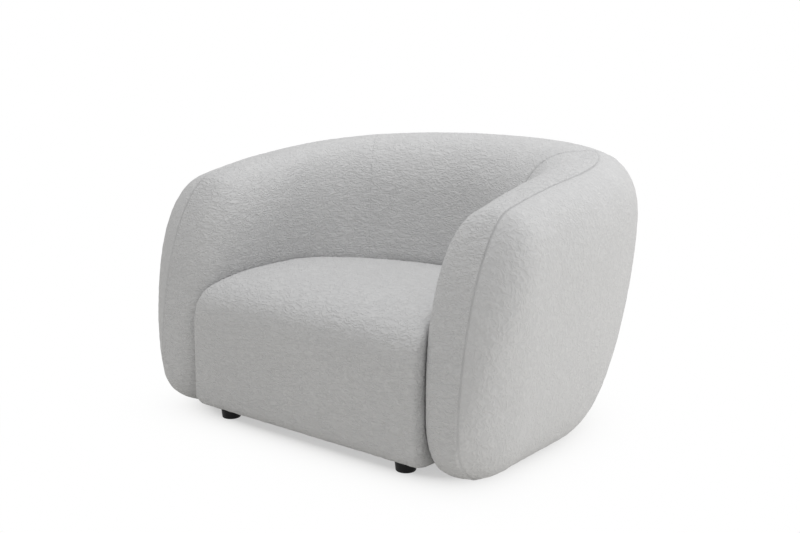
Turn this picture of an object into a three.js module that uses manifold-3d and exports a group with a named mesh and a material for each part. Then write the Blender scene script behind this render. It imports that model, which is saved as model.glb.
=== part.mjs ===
// A wraparound tub chair: two padded arms and a padded back that meet in pulled-in seams,
// a deep seat block between them, a timber and plywood frame inside, and four low feet.
// Millimetres, +Z up. The sitter faces -Y, so the sitter's left arm is on +X.
import * as THREE from "three";
import { mergeVertices } from "three/addons/utils/BufferGeometryUtils.js";
import Module from "manifold-3d";

const wasm = await Module();
wasm.setup();

// Driving dimensions of the whole chair
const overallWidth = 1140;
const overallDepth = 986;
const overallHeight = 678;
const fit = 0.3; // gap between two pieces that touch
const cutOverrun = 5; // how far a cutting solid runs past the face that it cuts

// Upholstery layers
const fabricThickness = 3;
const dustCoverThickness = 1.5;
const feltThickness = 5;
const frameCover = 48; // least foam between the frame and the fabric

// The arms, as seen from above and from the side
const arm = {
  thickness: 242,
  noseInset: 116, // from the outer side to the foremost line of the arm
  noseInnerLength: 219,
  noseOuterLength: 144,
  noseFlat: 2, // the foremost line is blunt by this much
  straightLength: 358, // from the front to where the corner of the wrap starts
  noseHeight: 98,
  shoulderHeight: 501,
  frontTopRun: 181,
  frontBottomRun: 124,
  bottomHeight: 8,
  crownHeight: 165,
  bottomRound: 128,
  tuck: 44, // how far the outer side draws in at the bottom
};
const armInnerNosePower = 2.87;
const armOuterNosePower = 1.7;
const armFrontTopPower = 1.82;
const armFrontBottomPower = 2.05;
const ridgeRisePower = 0.4;

// The back, as seen from above and from the side
const back = {
  thickness: 382,
  recline: 82, // how far the inner face leans back from seat height to the top
  bottomHeight: 34,
  bottomRound: 414,
  tuck: 120,
};
const bowlPower = 1.7;
const outerPlanPower = 2.41;
const sectionPower = 2.61;
const tuckPower = 2.03;

// The seam between an arm and the back
const seam = { angle: 46.5, pull: 3, pullRun: 18, pullStart: 8 };
const backShapeAngle = 45; // where the corner has taken up the section of the back
const reclineStart = 355; // height from which the inner face of the back leans back
const backBottomAngle = 75; // where the underside of the back reaches its own height

// The seat block
const seat = {
  underArm: 42, // how far the block is drawn past the inner face of an arm, which then cuts it
  underBack: 36,
  front: 5, // behind the foremost line of the arms
  topHeight: 372, // in the middle, just behind the front curve
  bottomHeight: 27.5,
  cornerRadius: 45,
  frontTopRun: 263,
  frontTopDrop: 133,
  bottomRadius: 34,
  crown: 5,
  rearFall: 28, // how far the top falls from its front curve to its rear
  rearRound: 30,
};
const seatFrontTopPower = 3.2;
const seatFallPower = 1.5;

// The timber base
const rail = { thickness: 32, frontSetback: 49, height: 157 };
const base = { underArm: 3.7, underBack: 28, postInset: 96.7, postRearInset: 261 };
const bearer = { width: 46, height: 60 };
const block = { size: 70, height: 60 };

// The plywood formers in the arms and the back
const rib = { thickness: 18, armFront: 95, armRearInset: 28, backInset: 85 };
const ribPad = { bite: 46, bottomGap: 60, topGap: 12 }; // joins a former to the side rail
const slat = { width: 60, thickness: 20, inset: 34 };
const lumbarSlat = { aboveRecline: 40, inset: 14 };

// Seat suspension
const spring = { wire: 4, width: 48, sideInset: 74.7, seat: 22 };
const clip = { width: 26, thickness: 2, length: 22, lip: 17 };
const springBars = 16;
const springCount = 4;
const springBendPower = 0.5;
const feltEdgeGap = 12;
const dustCoverEdge = 6; // from the outer faces of the base to the edge of the dust cover

// Feet and fasteners
const foot = { topRadius: 26, bottomRadius: 23.5, edge: 2, recessDepth: 10, frontInset: 47.7 };
const bolt = { radius: 4, headRadius: 7, headHeight: 5, bite: 40, headRoom: 1 };
const armBolt = { height: 117, bite: 45 };

// How finely the soft forms are cut into facets
const wallSteps = 2;
const crownSteps = 8;
const bottomSteps = 8;
const footSides = 20;
const boltSides = 10;

// Places that follow from the sizes above
const halfWidth = overallWidth / 2;
const noseX = halfWidth - arm.noseInset;
const armInnerX = halfWidth - arm.thickness;
const cornerDepth = overallDepth - arm.straightLength;
const ridgeRun = overallDepth - back.thickness / 2;
const frameBottom = seat.bottomHeight + fabricThickness + fit;
const frameTop = frameBottom + rail.height;
const railFront = rail.frontSetback;
const baseHalfWidth = armInnerX + base.underArm;
const postHalfWidth = baseHalfWidth - base.postInset;
const backInnerY = overallDepth - back.thickness;
const baseRear = backInnerY + base.underBack;
const postRear = overallDepth - base.postRearInset;
const seatHalfWidth = armInnerX + seat.underArm;
const seatRear = backInnerY + seat.underBack;
const railInner = baseHalfWidth - rail.thickness;
const armRibRear = arm.straightLength - rib.armRearInset;
const backRibX = postHalfWidth - rib.backInset;
const springSpacing = (2 * (railInner - spring.sideInset)) / (springCount - 1);
const footFrontX = baseHalfWidth - foot.frontInset;
const clipBottom = frameTop + fit;
const springAxis = clipBottom + clip.thickness + fit + spring.wire / 2;
const feltBottom = springAxis + spring.wire / 2 + fit;
const foamBottom = feltBottom + feltThickness + fit;
const dustTop = seat.bottomHeight - fit;
const dustBottom = dustTop - dustCoverThickness;
const footHeight = dustBottom - fit;
const rearFootX = postHalfWidth - foot.topRadius - fit;

const radians = THREE.MathUtils.degToRad;
const lerp = THREE.MathUtils.lerp;
const seamAngle = radians(seam.angle);

function signedPower(value, power) {
  return Math.sign(value) * Math.abs(value) ** power;
}

function clampShare(value) {
  return Math.min(Math.max(value, 0), 1);
}

function smoothShare(value) {
  const share = clampShare(value);
  return share * share * (3 - 2 * share);
}

// Grows from 0 at the tip to 1 at the given length, like the side of a superellipse
function roundShare(distance, length, power) {
  const left = clampShare(1 - distance / length);
  return (1 - left ** power) ** (1 / power);
}

// Solids: one mesh is one closed body, and booleans join and cut
function plainMesh(geometry) {
  const plain = new THREE.BufferGeometry();
  plain.setAttribute("position", geometry.getAttribute("position").clone());
  if (geometry.index) plain.setIndex(geometry.index.clone());
  return mergeVertices(plain);
}

function toSolid(geometry) {
  const plain = plainMesh(geometry);
  return new wasm.Manifold(
    new wasm.Mesh({
      numProp: 3,
      vertProperties: Float32Array.from(plain.getAttribute("position").array),
      triVerts: Uint32Array.from(plain.index.array),
    }),
  );
}

function toGeometry(solid) {
  const mesh = solid.getMesh();
  const geometry = new THREE.BufferGeometry();
  geometry.setAttribute("position", new THREE.BufferAttribute(mesh.vertProperties, 3));
  geometry.setIndex(new THREE.BufferAttribute(mesh.triVerts, 1));
  geometry.computeVertexNormals();
  return geometry;
}

function cut(geometry, ...cutters) {
  let solid = toSolid(geometry);
  for (const cutter of cutters) solid = solid.subtract(toSolid(cutter));
  return toGeometry(solid);
}

function join(geometry, ...others) {
  let solid = toSolid(geometry);
  for (const other of others) solid = solid.add(toSolid(other));
  return toGeometry(solid);
}

function mirrorX(geometry) {
  const mirrored = plainMesh(geometry);
  mirrored.scale(-1, 1, 1);
  const index = mirrored.index;
  for (let i = 0; i < index.count; i += 3) {
    const second = index.getX(i + 1);
    index.setX(i + 1, index.getX(i + 2));
    index.setX(i + 2, second);
  }
  return mirrored;
}

function boxBetween(low, high) {
  const box = new THREE.BoxGeometry(high[0] - low[0], high[1] - low[1], high[2] - low[2]);
  box.translate((low[0] + high[0]) / 2, (low[1] + high[1]) / 2, (low[2] + high[2]) / 2);
  return box;
}

// Skins a row of rings that have the same number of points, and closes both ends
function loft(rings) {
  const sides = rings[0].length;
  const positions = [];
  const faces = [];
  for (const ring of rings) for (const point of ring) positions.push(...point.toArray());
  for (let i = 0; i + 1 < rings.length; i += 1) {
    for (let j = 0; j < sides; j += 1) {
      const next = (j + 1) % sides;
      const a = i * sides + j;
      const b = i * sides + next;
      const c = (i + 1) * sides + next;
      const d = (i + 1) * sides + j;
      faces.push(a, c, b, a, d, c);
    }
  }
  for (const [row, turned] of [[0, false], [rings.length - 1, true]]) {
    const middle = new THREE.Vector3();
    for (const point of rings[row]) middle.addScaledVector(point, 1 / sides);
    const centre = positions.length / 3;
    positions.push(...middle.toArray());
    for (let j = 0; j < sides; j += 1) {
      const a = row * sides + j;
      const b = row * sides + ((j + 1) % sides);
      faces.push(centre, turned ? b : a, turned ? a : b);
    }
  }
  const geometry = new THREE.BufferGeometry();
  geometry.setAttribute("position", new THREE.Float32BufferAttribute(positions, 3));
  geometry.setIndex(faces);
  return geometry;
}

// Moves every point of a lofted skin inwards along its normal, and keeps both ends flat
function insetRings(rings, depth) {
  const last = rings.length - 1;
  const sides = rings[0].length;
  const ends = [rings[0], rings[last]].map(ringPlane);
  ends[0].normal.copy(facing(ends[0], rings[1]));
  ends[1].normal.copy(facing(ends[1], rings[last - 1]));
  return rings.map((ring, i) =>
    ring.map((point, j) => {
      const along = rings[Math.min(i + 1, last)][j].clone().sub(rings[Math.max(i - 1, 0)][j]);
      const around = ring[(j + 1) % sides].clone().sub(ring[(j + sides - 1) % sides]);
      const normal = new THREE.Vector3().crossVectors(along, around).normalize();
      const moved = point.clone().addScaledVector(normal, -depth);
      if (i === 0 || i === last) {
        const end = ends[i === 0 ? 0 : 1];
        const height = moved.clone().sub(end.middle).dot(end.normal);
        moved.addScaledVector(end.normal, depth - height);
      }
      return moved;
    }),
  );
}

function ringPlane(ring) {
  const middle = new THREE.Vector3();
  for (const point of ring) middle.addScaledVector(point, 1 / ring.length);
  const normal = new THREE.Vector3();
  ring.forEach((point, j) => {
    const next = ring[(j + 1) % ring.length];
    normal.add(point.clone().sub(middle).cross(next.clone().sub(middle)));
  });
  return { middle, normal: normal.normalize() };
}

function facing(plane, neighbour) {
  const towards = ringPlane(neighbour).middle.sub(plane.middle);
  const turned = towards.dot(plane.normal) < 0 ? -1 : 1;
  return plane.normal.clone().multiplyScalar(turned);
}

// One upright section of the wrap, between its inner and outer foot points on the plan
function sectionRing(shape) {
  const across = shape.outer.clone().sub(shape.inner);
  const outward = across.clone().normalize();
  const height = shape.top - shape.bottom;
  const crown = Math.min(shape.crown, height / 2);
  const round = Math.min(shape.round, height / 2);
  const wallTop = shape.top - crown;
  const wallBottom = shape.bottom + round;
  const places = [];
  for (let i = 0; i < wallSteps; i += 1) {
    places.push([1, lerp(wallBottom, wallTop, i / wallSteps)]);
  }
  for (let i = 0; i < crownSteps; i += 1) places.push(archPlace(i / crownSteps, wallTop, crown));
  for (let i = 0; i < wallSteps; i += 1) {
    places.push([0, lerp(wallTop, wallBottom, i / wallSteps)]);
  }
  for (let i = 0; i < bottomSteps; i += 1) {
    const [share, z] = archPlace(i / bottomSteps, wallBottom, -round);
    places.push([1 - share, z]);
  }
  return places.map(([share, z]) => {
    const low = clampShare((wallTop - z) / (wallTop - shape.bottom)) ** tuckPower;
    const high = clampShare((z - reclineStart) / (shape.top - reclineStart));
    const shift = shape.lean * high * (1 - share) - shape.tuck * low * share;
    const plan = shape.inner.clone().addScaledVector(across, share).addScaledVector(outward, shift);
    return new THREE.Vector3(plan.x, plan.y, z);
  });
}

function archPlace(turnShare, startZ, rise) {
  const turn = Math.PI * turnShare;
  const share = 0.5 + 0.5 * signedPower(Math.cos(turn), 2 / sectionPower);
  return [share, startZ + rise * Math.sin(turn) ** (2 / sectionPower)];
}

function ridgeHeight(y) {
  const front = roundShare(y, arm.frontTopRun, armFrontTopPower);
  const rise = clampShare(y / ridgeRun) ** ridgeRisePower;
  return lerp(arm.noseHeight, arm.shoulderHeight, front) + (overallHeight - arm.shoulderHeight) * rise;
}

// A section square across the straight part of an arm
function armShape(distance) {
  const y = distance + arm.noseFlat;
  const inner = roundShare(y, arm.noseInnerLength, armInnerNosePower);
  const outer = roundShare(y, arm.noseOuterLength, armOuterNosePower);
  const front = roundShare(y, arm.frontBottomRun, armFrontBottomPower);
  const full = roundShare(y, arm.noseInnerLength, 2);
  return {
    inner: new THREE.Vector2(lerp(noseX, armInnerX, inner), distance),
    outer: new THREE.Vector2(lerp(noseX, halfWidth, outer), distance),
    bottom: lerp(arm.noseHeight, arm.bottomHeight, front),
    top: ridgeHeight(y),
    crown: arm.crownHeight,
    round: arm.bottomRound,
    tuck: arm.tuck * full,
    lean: 0,
  };
}

// A section round the back, by its angle from the side of the chair
function cornerShape(angle) {
  const c = Math.cos(angle);
  const s = Math.sin(angle);
  const innerDepth = cornerDepth - back.thickness;
  const inner = new THREE.Vector2(
    armInnerX * signedPower(c, 2 / bowlPower),
    arm.straightLength + innerDepth * s ** (2 / bowlPower),
  );
  const outer = new THREE.Vector2(
    halfWidth * signedPower(c, 2 / outerPlanPower),
    arm.straightLength + cornerDepth * s ** (2 / outerPlanPower),
  );
  const fromSide = Math.min(angle, Math.PI - angle);
  const round = smoothShare(fromSide / radians(backShapeAngle));
  const behind = smoothShare((fromSide - seamAngle) / (radians(backBottomAngle) - seamAngle));
  return {
    inner,
    outer,
    bottom: lerp(arm.bottomHeight, back.bottomHeight, behind),
    top: ridgeHeight((inner.y + outer.y) / 2),
    crown: arm.crownHeight,
    round: lerp(arm.bottomRound, back.bottomRound, round),
    tuck: lerp(arm.tuck, back.tuck, round),
    lean: back.recline * round,
  };
}

// The same section drawn in by one depth all round
function shrunk(shape, depth) {
  const outward = shape.outer.clone().sub(shape.inner).normalize();
  return {
    ...shape,
    inner: shape.inner.clone().addScaledVector(outward, depth),
    outer: shape.outer.clone().addScaledVector(outward, -depth),
    bottom: shape.bottom + depth,
    top: shape.top - depth,
    crown: shape.crown - depth,
    round: shape.round - depth,
  };
}

// Beside the seam the sections draw in, so that the two pods round off into it
function seamRings(side) {
  const shape = cornerShape(seamAngle);
  const across = shape.outer.clone().sub(shape.inner).normalize();
  const along = new THREE.Vector3(-across.y, across.x, 0);
  const steps = [
    [seam.pullRun, 0],
    [seam.pullStart, seam.pull / 2],
    [fit / 2, seam.pull],
  ];
  const rings = steps.map(([distance, pull]) => {
    const wide = { ...shrunk(shape, pull), crown: shape.crown, round: shape.round };
    return sectionRing(wide).map((point) => point.addScaledVector(along, side * distance));
  });
  return side < 0 ? rings : rings.reverse();
}

const armStopShares = [0, 0.034, 0.1, 0.2, 0.36, 0.56, 0.8];
const cornerStopShares = [0, 0.25, 0.48, 0.68, 0.86];
const backStopShares = [0.22, 0.45, 0.72, 1];

function armRings() {
  const straight = armStopShares.map((share) => sectionRing(armShape(share * arm.noseInnerLength)));
  const corner = cornerStopShares.map((share) => sectionRing(cornerShape(share * seamAngle)));
  return [...straight, ...corner, ...seamRings(-1)];
}

function backRings() {
  const half = [
    ...seamRings(1),
    ...backStopShares.map((share) => sectionRing(cornerShape(lerp(seamAngle, Math.PI / 2, share)))),
  ];
  const other = half.slice(0, -1).reverse();
  return [...half, ...other.map((ring) => ring.map((p) => new THREE.Vector3(-p.x, p.y, p.z)))];
}

// The space that the timber base takes up under the arms and the back
function baseSpace() {
  const side = baseHalfWidth + fit;
  const post = postHalfWidth + fit;
  return [
    boxBetween([-side, railFront - fit, -cutOverrun], [side, baseRear + fit, foamBottom]),
    boxBetween([-post, baseRear, -cutOverrun], [post, postRear + fit, frameTop + fit]),
  ];
}

function ringBetween(front, rear, share) {
  return front.map((point, j) => point.clone().lerp(rear[j], share));
}

const ribRun = { front: rib.armFront, rear: armRibRear + rib.thickness };

// Arm former outlines at the front of the front rib and the rear of the rear rib
function armFrameRings(cover) {
  return [ribRun.front, ribRun.rear].map((y) => sectionRing(shrunk(armShape(y), cover)));
}

function armPadBox(gap) {
  const low = frameBottom + ribPad.bottomGap - gap;
  const high = frameTop - ribPad.topGap + gap;
  const outer = armInnerX + frameCover + ribPad.bite + gap;
  return { low, high, inner: baseHalfWidth + fit, outer };
}

// The hollow in the arm foam that takes the plywood frame, open towards the base
function armFrameSpace() {
  const [front, rear] = armFrameRings(frameCover - fit);
  for (const point of front) point.y -= fit;
  for (const point of rear) point.y += fit;
  const pad = armPadBox(fit);
  const slot = boxBetween(
    [pad.inner - cutOverrun, ribRun.front - fit, pad.low],
    [pad.outer, ribRun.rear + fit, pad.high],
  );
  return [loft([front, rear]), slot];
}

function armRib(start) {
  const [front, rear] = armFrameRings(frameCover);
  const length = ribRun.rear - ribRun.front;
  const shares = [start, start + rib.thickness].map((y) => (y - ribRun.front) / length);
  const rings = shares.map((share) => ringBetween(front, rear, share));
  const pad = armPadBox(0);
  const foot = boxBetween([pad.inner, start, pad.low], [pad.outer, start + rib.thickness, pad.high]);
  const slots = [armSlat(true, fit), armSlat(false, fit)];
  const hole = armBoltAt(start + rib.thickness / 2, fit);
  return cut(join(loft(rings), foot), ...slots, hole);
}

// A slat runs through slots in both ribs, under the crown or above the bottom
function armSlat(upper, gap) {
  const [front, rear] = armFrameRings(frameCover).map((ring) => {
    const box = new THREE.Box3().setFromPoints(ring);
    const z = upper ? box.max.z - slat.inset : box.min.z + slat.inset;
    const [inner, outer] = spanAt(ring, z, "x");
    return slatRing((inner + outer) / 2, box.min.y, z, gap);
  });
  const share = gap > 0 ? cutOverrun / (ribRun.rear - ribRun.front) : 0;
  return loft([ringBetween(front, rear, -share), ringBetween(front, rear, 1 + share)]);
}

// Where the sides of a section are at one height, along x or y
function spanAt(ring, z, axis) {
  const crossings = ring.flatMap((point, j) => {
    const next = ring[(j + 1) % ring.length];
    if ((point.z - z) * (next.z - z) > 0 || point.z === next.z) return [];
    return [lerp(point[axis], next[axis], (z - point.z) / (next.z - point.z))];
  });
  return [Math.min(...crossings), Math.max(...crossings)];
}

function slatRing(x, y, z, gap) {
  const wide = slat.width / 2 + gap;
  const high = slat.thickness / 2 + gap;
  return [[wide, -high], [wide, high], [-wide, high], [-wide, -high]].map(
    ([dx, dz]) => new THREE.Vector3(x + dx, y, z + dz),
  );
}

// Back formers stand on the rear of the base, all cut to the outline at the middle of the back
function backSection(cover) {
  return sectionRing(shrunk(cornerShape(Math.PI / 2), cover));
}

const backOutline = backSection(frameCover);

function backFormer(fromX, toX, cover) {
  const ring = backSection(cover);
  const rings = [toX, fromX].map((x) => ring.map((point) => new THREE.Vector3(x, point.y, point.z)));
  return loft(rings);
}

function belowBase(height) {
  return boxBetween([-halfWidth, 0, -cutOverrun], [halfWidth, overallDepth, height]);
}

const backRibReach = backRibX + rib.thickness / 2;

function backFrameSpace() {
  const whole = backFormer(-backRibReach - fit, backRibReach + fit, frameCover - fit);
  return cut(whole, belowBase(frameTop));
}

function backSlatReach(gap) {
  return backRibReach + (gap > 0 ? cutOverrun : 0);
}

// Two slats tie the back formers together: one flat under the crown, one upright at the front
function backSlatTop(gap) {
  const top = Math.max(...backOutline.map((point) => point.z));
  const z = top - slat.inset;
  const [front, rear] = spanAt(backOutline, z, "y");
  const y = (front + rear) / 2;
  const deep = slat.width / 2 + gap;
  const high = slat.thickness / 2 + gap;
  const reach = backSlatReach(gap);
  return boxBetween([-reach, y - deep, z - high], [reach, y + deep, z + high]);
}

function backSlatLumbar(gap) {
  const low = reclineStart + lumbarSlat.aboveRecline;
  const high = low + slat.width;
  const y = spanAt(backOutline, high, "y")[0] + lumbarSlat.inset;
  const reach = backSlatReach(gap);
  return boxBetween([-reach, y - gap, low - gap], [reach, y + slat.thickness + gap, high + gap]);
}

function backRib(x) {
  const half = rib.thickness / 2;
  const former = backFormer(x - half, x + half, frameCover);
  return cut(former, belowBase(frameTop + fit), backSlatTop(fit), backSlatLumbar(fit));
}

// The seat block as side profiles, one beside the other from right to left
const seatStopShares = [0, 0.28, 0.55, 0.78];
const seatCornerShares = [0, 0.4, 0.72, 0.93, 1];
const seatFrontSteps = 8;
const seatBottomSteps = 3;
const seatTopShares = [0.35, 0.7];

function seatRing(x) {
  const half = seatHalfWidth;
  const into = clampShare((Math.abs(x) - half + seat.cornerRadius) / seat.cornerRadius);
  const front = seat.front + seat.cornerRadius * (1 - Math.sqrt(1 - into * into));
  const top = seat.topHeight - seat.crown * (x / half) ** 2;
  const bottom = seat.bottomHeight;
  const ring = [[seatRear, bottom], [front + seat.frontTopRun, bottom]];
  for (let i = 0; i <= seatBottomSteps; i += 1) {
    const turn = (Math.PI / 2) * (i / seatBottomSteps);
    const out = seat.bottomRadius * (1 - Math.sin(turn));
    ring.push([front + out, bottom + seat.bottomRadius * (1 - Math.cos(turn))]);
  }
  for (let i = 0; i <= seatFrontSteps; i += 1) {
    const turn = (Math.PI / 2) * (i / seatFrontSteps);
    const run = 1 - Math.cos(turn) ** (2 / seatFrontTopPower);
    const drop = 1 - Math.sin(turn) ** (2 / seatFrontTopPower);
    ring.push([front + seat.frontTopRun * run, top - seat.frontTopDrop * drop]);
  }
  for (const share of seatTopShares) {
    const y = lerp(front + seat.frontTopRun, seatRear - seat.rearRound, share);
    ring.push([y, top - seat.rearFall * share ** seatFallPower]);
  }
  const rearTop = top - seat.rearFall;
  ring.push([seatRear - seat.rearRound, rearTop], [seatRear, rearTop - seat.rearRound]);
  return ring.map(([y, z]) => new THREE.Vector3(x, y, z));
}

function seatRings() {
  const half = seatHalfWidth;
  const flat = half - seat.cornerRadius;
  const right = [
    ...seatStopShares.map((share) => share * flat),
    ...seatCornerShares.map((share) => flat + share * seat.cornerRadius),
  ];
  const left = right.slice(1).reverse().map((x) => -x);
  return [...left, ...right].map(seatRing);
}

// The seat block at one depth under its surface, hollowed by the arms and the back beside it
function seatBody(depth) {
  const grown = -(depth + fit);
  const side = loft(insetRings(armRings(), grown));
  const rear = loft(insetRings(backRings(), grown));
  return cut(loft(insetRings(seatRings(), depth)), side, mirrorX(side), rear);
}

function seatCover() {
  const high = [halfWidth, seatRear + cutOverrun, foamBottom];
  const frame = boxBetween([-halfWidth, railFront - fit, frameBottom - fit], high);
  const opening = boxBetween([-halfWidth, railFront + rail.thickness, -cutOverrun], high);
  const holes = [-1, 1].map((side) => footBoltAt(side * footFrontX, frontFootY, fit));
  return cut(seatBody(0), seatBody(fabricThickness), frame, opening, ...holes);
}

function seatFoam() {
  const high = [halfWidth, seatRear + cutOverrun, foamBottom];
  const frame = boxBetween([-halfWidth, railFront - fit, -cutOverrun], high);
  return cut(seatBody(fabricThickness + fit), frame);
}

// Feet, bolts and springs
const frontFootY = railFront + rail.thickness / 2;
const rearFootY = postRear - rail.thickness - fit;

function lathe(points) {
  const closed = [...points, points[0]].map(([r, z]) => new THREE.Vector2(r, z));
  const shape = new THREE.LatheGeometry(closed, footSides);
  shape.rotateX(Math.PI / 2);
  return shape;
}

function footShape(x, y) {
  const bore = bolt.radius + fit;
  const recess = bolt.headRadius + bolt.headRoom;
  const shape = lathe([
    [recess, 0],
    [foot.bottomRadius - foot.edge, 0],
    [foot.bottomRadius, foot.edge],
    [foot.topRadius, footHeight],
    [bore, footHeight],
    [bore, foot.recessDepth],
    [recess, foot.recessDepth],
  ]);
  shape.translate(x, y, 0);
  return shape;
}

function boltShape(shank, gap) {
  const radius = bolt.radius + gap;
  const head = bolt.headRadius + gap;
  const shape = [[0, -bolt.headHeight], [head, -bolt.headHeight], [head, 0], [radius, 0]];
  const outline = [...shape, [radius, shank + gap], [0, shank + gap]];
  const points = outline.map(([r, z]) => new THREE.Vector2(r, z));
  const geometry = new THREE.LatheGeometry(points, boltSides);
  geometry.rotateX(Math.PI / 2);
  return geometry;
}

function footBoltAt(x, y, gap) {
  const seatZ = foot.recessDepth - fit;
  const shape = boltShape(frameBottom + bolt.bite - seatZ, gap);
  shape.translate(x, y, seatZ);
  return shape;
}

function armBoltAt(y, gap) {
  const seatX = railInner - fit;
  const shape = boltShape(baseHalfWidth + armBolt.bite - seatX, gap);
  shape.rotateY(Math.PI / 2);
  shape.translate(seatX, y, armBolt.height);
  return shape;
}

// A sinuous spring: straight bars across it, joined by a bend at each side
class SpringCurve extends THREE.Curve {
  constructor(x, firstBar, lastBar) {
    super();
    this.x = x;
    this.pitch = (lastBar - firstBar) / (springBars - 1);
    this.start = firstBar - this.pitch / 2;
  }

  getPoint(t, target = new THREE.Vector3()) {
    const along = t * springBars;
    const side = signedPower(Math.cos(Math.PI * along), springBendPower);
    const reach = spring.width / 2;
    return target.set(this.x + reach * side, this.start + along * this.pitch, springAxis);
  }

  // Even steps along the chair put the same points on every bar
  getUtoTmapping(u) {
    return u;
  }
}

const springBarSteps = 4;
const springSides = 5;
const firstBarY = railFront + spring.seat;
const lastBarY = baseRear - spring.seat;

function springShape(x) {
  const wire = new THREE.Shape();
  for (let i = 0; i < springSides; i += 1) {
    const turn = (2 * Math.PI * i) / springSides;
    const radius = spring.wire / 2;
    const place = [radius * Math.cos(turn), radius * Math.sin(turn)];
    if (i === 0) wire.moveTo(...place);
    else wire.lineTo(...place);
  }
  wire.closePath();
  return new THREE.ExtrudeGeometry(wire, {
    steps: springBars * springBarSteps,
    extrudePath: new SpringCurve(x, firstBarY, lastBarY),
  });
}

// A clip is a strip of steel folded over the last bar of a spring
function clipShape(x, barY, outwards) {
  const low = clipBottom;
  const top = springAxis + spring.wire / 2 + fit;
  const back = -clip.length / 2;
  const profile = [
    [back, low],
    [-back, low],
    [-back, low + clip.thickness],
    [back + clip.thickness, low + clip.thickness],
    [back + clip.thickness, top],
    [back + clip.lip, top],
    [back + clip.lip, top + clip.thickness],
    [back, top + clip.thickness],
  ];
  const outline = new THREE.Shape(profile.map(([y, z]) => new THREE.Vector2(y * outwards, z)));
  const shape = new THREE.ExtrudeGeometry(outline, { depth: clip.width, bevelEnabled: false });
  shape.rotateX(Math.PI / 2);
  shape.rotateZ(Math.PI / 2);
  shape.translate(x - clip.width / 2, barY, 0);
  return shape;
}

// Flat pieces cut to an outline on the plan
function flatPiece(outline, bottom, thickness) {
  const shape = new THREE.Shape(outline.map(([x, y]) => new THREE.Vector2(x, y)));
  const piece = new THREE.ExtrudeGeometry(shape, { depth: thickness, bevelEnabled: false });
  piece.translate(0, 0, bottom);
  return piece;
}

function mirroredOutline(half) {
  return [...half, ...half.slice().reverse().map(([x, y]) => [-x, y])];
}

function dustCover() {
  const wide = baseHalfWidth - dustCoverEdge;
  const post = postHalfWidth - dustCoverEdge;
  const rear = baseRear - dustCoverEdge;
  const end = postRear - dustCoverEdge;
  const half = [[wide, railFront + dustCoverEdge], [wide, rear], [post, rear], [post, end]];
  const sheet = flatPiece(mirroredOutline(half), dustBottom, dustCoverThickness);
  return cut(sheet, ...footPlaces.map(([, x, y]) => footBoltAt(x, y, fit)));
}

function feltPad() {
  const wide = baseHalfWidth - feltEdgeGap;
  const front = firstBarY + clip.length / 2 + feltEdgeGap;
  const rear = lastBarY - clip.length / 2 - feltEdgeGap;
  return flatPiece(mirroredOutline([[wide, front], [wide, rear]]), feltBottom, feltThickness);
}

// Timber base
function frontRail() {
  const high = railFront + rail.thickness;
  const bar = boxBetween([-baseHalfWidth, railFront, frameBottom], [baseHalfWidth, high, frameTop]);
  return cut(bar, ...[-1, 1].map((side) => footBoltAt(side * footFrontX, frontFootY, fit)));
}

function rearRail() {
  const wide = railInner - fit;
  const low = baseRear - rail.thickness;
  return boxBetween([-wide, low, frameBottom], [wide, baseRear, frameTop]);
}

function sideRail() {
  const low = railFront + rail.thickness + fit;
  const bar = boxBetween([railInner, low, frameBottom], [baseHalfWidth, baseRear, frameTop]);
  return cut(bar, ...armBoltPlaces.map(([, y]) => armBoltAt(y, fit)));
}

function centreBearer() {
  const wide = bearer.width / 2;
  const front = railFront + rail.thickness + fit;
  const rear = baseRear - rail.thickness - fit;
  return boxBetween([-wide, front, frameBottom], [wide, rear, frameBottom + bearer.height]);
}

function rearBearer() {
  const inner = postHalfWidth - bearer.width;
  const low = [inner, baseRear + fit, frameBottom];
  const bar = boxBetween(low, [postHalfWidth, postRear, frameTop]);
  return cut(bar, footBoltAt(rearFootX, rearFootY, fit));
}

function backRail() {
  const wide = postHalfWidth - bearer.width - fit;
  const low = postRear - rail.thickness;
  return boxBetween([-wide, low, frameBottom], [wide, postRear, frameTop]);
}

function cornerBlock(towardsFront) {
  const side = railInner - fit;
  const edge = towardsFront ? railFront + rail.thickness + fit : baseRear - rail.thickness - fit;
  const run = towardsFront ? block.size : -block.size;
  const outline = [[side, edge], [side - block.size, edge], [side, edge + run]];
  return flatPiece(outline, frameBottom, block.height);
}

const armBoltPlaces = [
  ["front", rib.armFront + rib.thickness / 2],
  ["rear", armRibRear + rib.thickness / 2],
];
const footPlaces = [
  ["front_left", footFrontX, frontFootY],
  ["front_right", -footFrontX, frontFootY],
  ["rear_left", rearFootX, rearFootY],
  ["rear_right", -rearFootX, rearFootY],
];

// Arm and back pods: a fabric skin over foam, both cut away where the base and the formers are
function armPod(depth) {
  return loft(insetRings(armRings(), depth));
}

function backPod(depth) {
  return loft(insetRings(backRings(), depth));
}

const armHollow = [...baseSpace(), ...armFrameSpace()];
const armCover = cut(armPod(0), armPod(fabricThickness), ...armHollow);
const armFoam = cut(armPod(fabricThickness + fit), ...armHollow);
const backCover = cut(backPod(0), backPod(fabricThickness), ...baseSpace());
const backFoam = cut(backPod(fabricThickness + fit), ...baseSpace(), backFrameSpace());

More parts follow.
